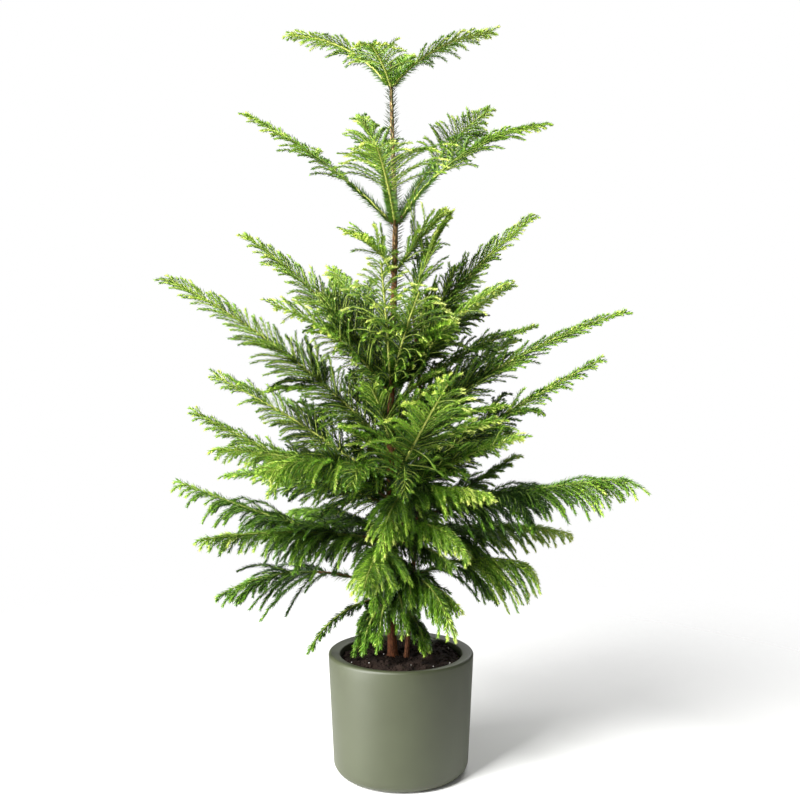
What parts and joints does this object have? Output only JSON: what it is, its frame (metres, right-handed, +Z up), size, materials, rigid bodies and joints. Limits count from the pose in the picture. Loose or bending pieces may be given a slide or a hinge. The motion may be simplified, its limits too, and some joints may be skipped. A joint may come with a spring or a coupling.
{
  "type": "potted norfolk island pine",
  "caption": "Potted whorled conifer: a slender leaning trunk with tiers of flat, feathery fronds of short needles, standing in a round matte pot filled with soil.",
  "frame": {"origin": "centre of the pot's flat underside, on the surface that it stands on", "axes": "+Z up along the trunk, -Y towards the picture's viewer, +X to the viewer's right"},
  "size_m": [0.8203, 0.6044, 1.2847],
  "materials": {
    "pot": "matte sage green",
    "soil": "rough, dark and crumbly",
    "bark": "rough reddish-brown bark",
    "twig_bark": "rough tan-brown bark",
    "needles": "satin green"
  },
  "bodies": {
    "root": {"bough_base_1": "twig_bark", "bough_low_1": "twig_bark", "bough_low_3": "twig_bark", "frond_base_1": "needles", "frond_base_2": "needles", "frond_base_3": "needles", "frond_base_4": "needles", "frond_base_5": "needles", "frond_fore_1": "needles", "frond_fore_2": "needles", "frond_low_1": "needles", "frond_low_2": "needles", "frond_low_3": "needles", "frond_low_4": "needles", "frond_low_5": "needles", "frond_low_6": "needles", "frond_low_7": "needles", "frond_low_8": "needles", "frond_low_9": "needles", "frond_lower_1": "needles", "frond_lower_10": "needles", "frond_lower_2": "needles", "frond_lower_3": "needles", "frond_lower_4": "needles", "frond_lower_5": "needles", "frond_lower_6": "needles", "frond_lower_7": "needles", "frond_lower_8": "needles", "frond_lower_9": "needles", "frond_middle_1": "needles", "frond_middle_2": "needles", "frond_middle_3": "needles", "frond_middle_4": "needles", "frond_middle_5": "needles", "frond_middle_6": "needles", "frond_middle_7": "needles", "frond_middle_8": "needles", "frond_second_1": "needles", "frond_side_1": "needles", "frond_side_2": "needles", "frond_side_3": "needles", "frond_spur_1": "needles", "frond_spur_2": "needles", "frond_top_1": "needles", "frond_top_2": "needles", "frond_top_3": "needles", "frond_top_4": "needles", "frond_upper_1": "needles", "frond_upper_2": "needles", "frond_upper_3": "needles", "frond_upper_4": "needles", "frond_upper_5": "needles", "frond_wide_1": "needles", "frond_wide_2": "needles", "frond_wide_3": "needles", "frond_wide_4": "needles", "pot": "pot", "second_stem": "bark", "soil": "soil", "trunk": "bark"}
  },
  "joints": []
}
